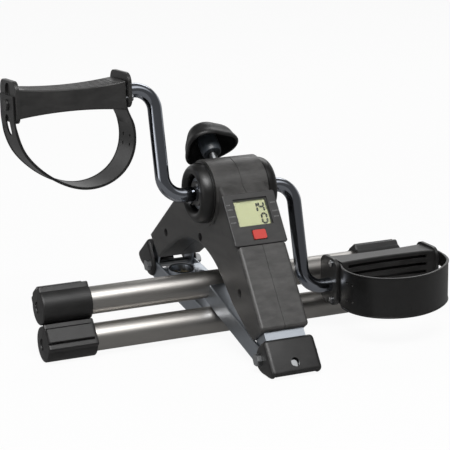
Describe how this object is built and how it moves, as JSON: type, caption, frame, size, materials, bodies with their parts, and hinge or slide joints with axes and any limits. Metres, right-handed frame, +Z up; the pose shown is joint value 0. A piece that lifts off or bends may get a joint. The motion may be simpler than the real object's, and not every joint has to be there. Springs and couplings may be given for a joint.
{
  "type": "pedal exerciser",
  "caption": "Folding floor pedal exerciser with a bent crank, strapped foot pedals, a tension knob, a small display and two crossbar legs, stored folded.",
  "frame": {"origin": "middle of the folded machine's bounding box, at its lowest point", "axes": "+X along the crank axis and the floor tubes, to the user's right; +Y away from the user; +Z up"},
  "size_m": [0.4416, 0.3428, 0.2785],
  "materials": {
    "board": "circuit board",
    "bolt": "zinc plated",
    "brass": "turned",
    "bush": "natural nylon",
    "button": "red rubber",
    "cap": "black rubber",
    "cell": "button cell",
    "console": "fine textured black moulding",
    "crank": "bright plated rod",
    "glass": "clear window",
    "knob": "soft black",
    "lcd": "display",
    "pad": "friction lining",
    "pedal": "textured black moulding",
    "screw": "plated",
    "sheet": "blue-grey zinc plated sheet",
    "shell": "textured black moulding",
    "strap": "satin black flexible plastic",
    "tube": "satin plated tube"
  },
  "bodies": {
    "base": {"bearing_flange_left": "shell", "bearing_flange_right": "shell", "bushing_left": "bush", "bushing_right": "bush", "button_cell": "cell", "circuit_board": "board", "console_case": "console", "display_connector": "pad", "flange_screws": "screw", "friction_pad": "pad", "hinge_block_front": "shell", "hinge_block_rear": "shell", "hinge_bolts": "bolt", "hinge_nuts": "bolt", "housing_left": "shell", "housing_right": "shell", "housing_screws": "screw", "hub_cover_left": "shell", "hub_cover_right": "shell", "hub_tube": "sheet", "inner_frame": "sheet", "lcd_glass": "glass", "lcd_panel": "lcd", "pressure_shoe": "sheet", "screw_insert": "brass", "speed_sensor": "console"},
    "crank": {"crank_left": "crank", "crank_right": "crank", "crank_sleeve": "sheet", "magnet_ring": "bush", "speed_magnet": "cell", "pedal_clip_left": "screw", "pedal_clip_right": "screw"},
    "front_leg": {"front_leg_channel": "sheet", "front_tube": "tube", "front_cap_left": "cap", "front_cap_right": "cap"},
    "rear_leg": {"rear_leg_channel": "sheet", "rear_tube": "tube", "rear_cap_left": "cap", "rear_cap_right": "cap"},
    "knob": {"tension_knob": "knob", "tension_screw": "bolt"},
    "button": {"reset_button": "button"},
    "lock_front": {"lock_pin_front": "bolt"},
    "lock_rear": {"lock_pin_rear": "bolt"},
    "pedal_left": {"pedal_plate_inner_left": "pedal", "pedal_plate_outer_left": "pedal", "pedal_tread_left": "pedal", "pedal_strap_left": "strap", "pedal_screws_left": "screw"},
    "pedal_right": {"pedal_plate_inner_right": "pedal", "pedal_plate_outer_right": "pedal", "pedal_tread_right": "pedal", "pedal_strap_right": "strap", "pedal_screws_right": "screw"}
  },
  "joints": [
    {"name": "crank_turn", "type": "hinge", "parent": "base", "child": "crank", "pos_m": [0, -0.01916, 0.15339], "axis": [1, 0, 0], "range_deg": [-115, 0]},
    {"name": "pedal_left_turn", "type": "hinge", "parent": "crank", "child": "pedal_left", "pos_m": [0, 0.01162, 0.25796], "axis": [1, 0, 0], "continuous": true},
    {"name": "pedal_right_turn", "type": "hinge", "parent": "crank", "child": "pedal_right", "pos_m": [0, -0.04994, 0.04883], "axis": [1, 0, 0], "range_deg": [-45, 85]},
    {"name": "front_leg_fold", "type": "hinge", "parent": "base", "child": "front_leg", "pos_m": [0, -0.1424, 0.01365], "axis": [1, 0, 0], "range_deg": [-137.4, 0]},
    {"name": "rear_leg_fold", "type": "hinge", "parent": "base", "child": "rear_leg", "pos_m": [0, 0.13702, 0.03973], "axis": [1, 0, 0], "range_deg": [-0.01, 138.6]},
    {"name": "tension_turn", "type": "hinge", "parent": "base", "child": "knob", "pos_m": [-0.003, 0.01985, 0.18927], "axis": [0, 0.7361, 0.6769], "range_deg": [-270, 270]},
    {"name": "button_press", "type": "slide", "parent": "base", "child": "button", "axis": [0, 0.8151, -0.5793], "range_m": [0, 0.0012], "stiffness_N_per_m": 600},
    {"name": "lock_front_pull", "type": "slide", "parent": "base", "child": "lock_front", "axis": [0, -0.8151, 0.5793], "range_m": [0, 0.004], "stiffness_N_per_m": 400},
    {"name": "lock_rear_pull", "type": "slide", "parent": "base", "child": "lock_rear", "axis": [0, 0.6088, 0.7934], "range_m": [0, 0.004], "stiffness_N_per_m": 400}
  ],
  "couplings": [
    {"joint": "rear_leg_fold", "follows": "front_leg_fold", "ratio": -1.008}
  ]
}
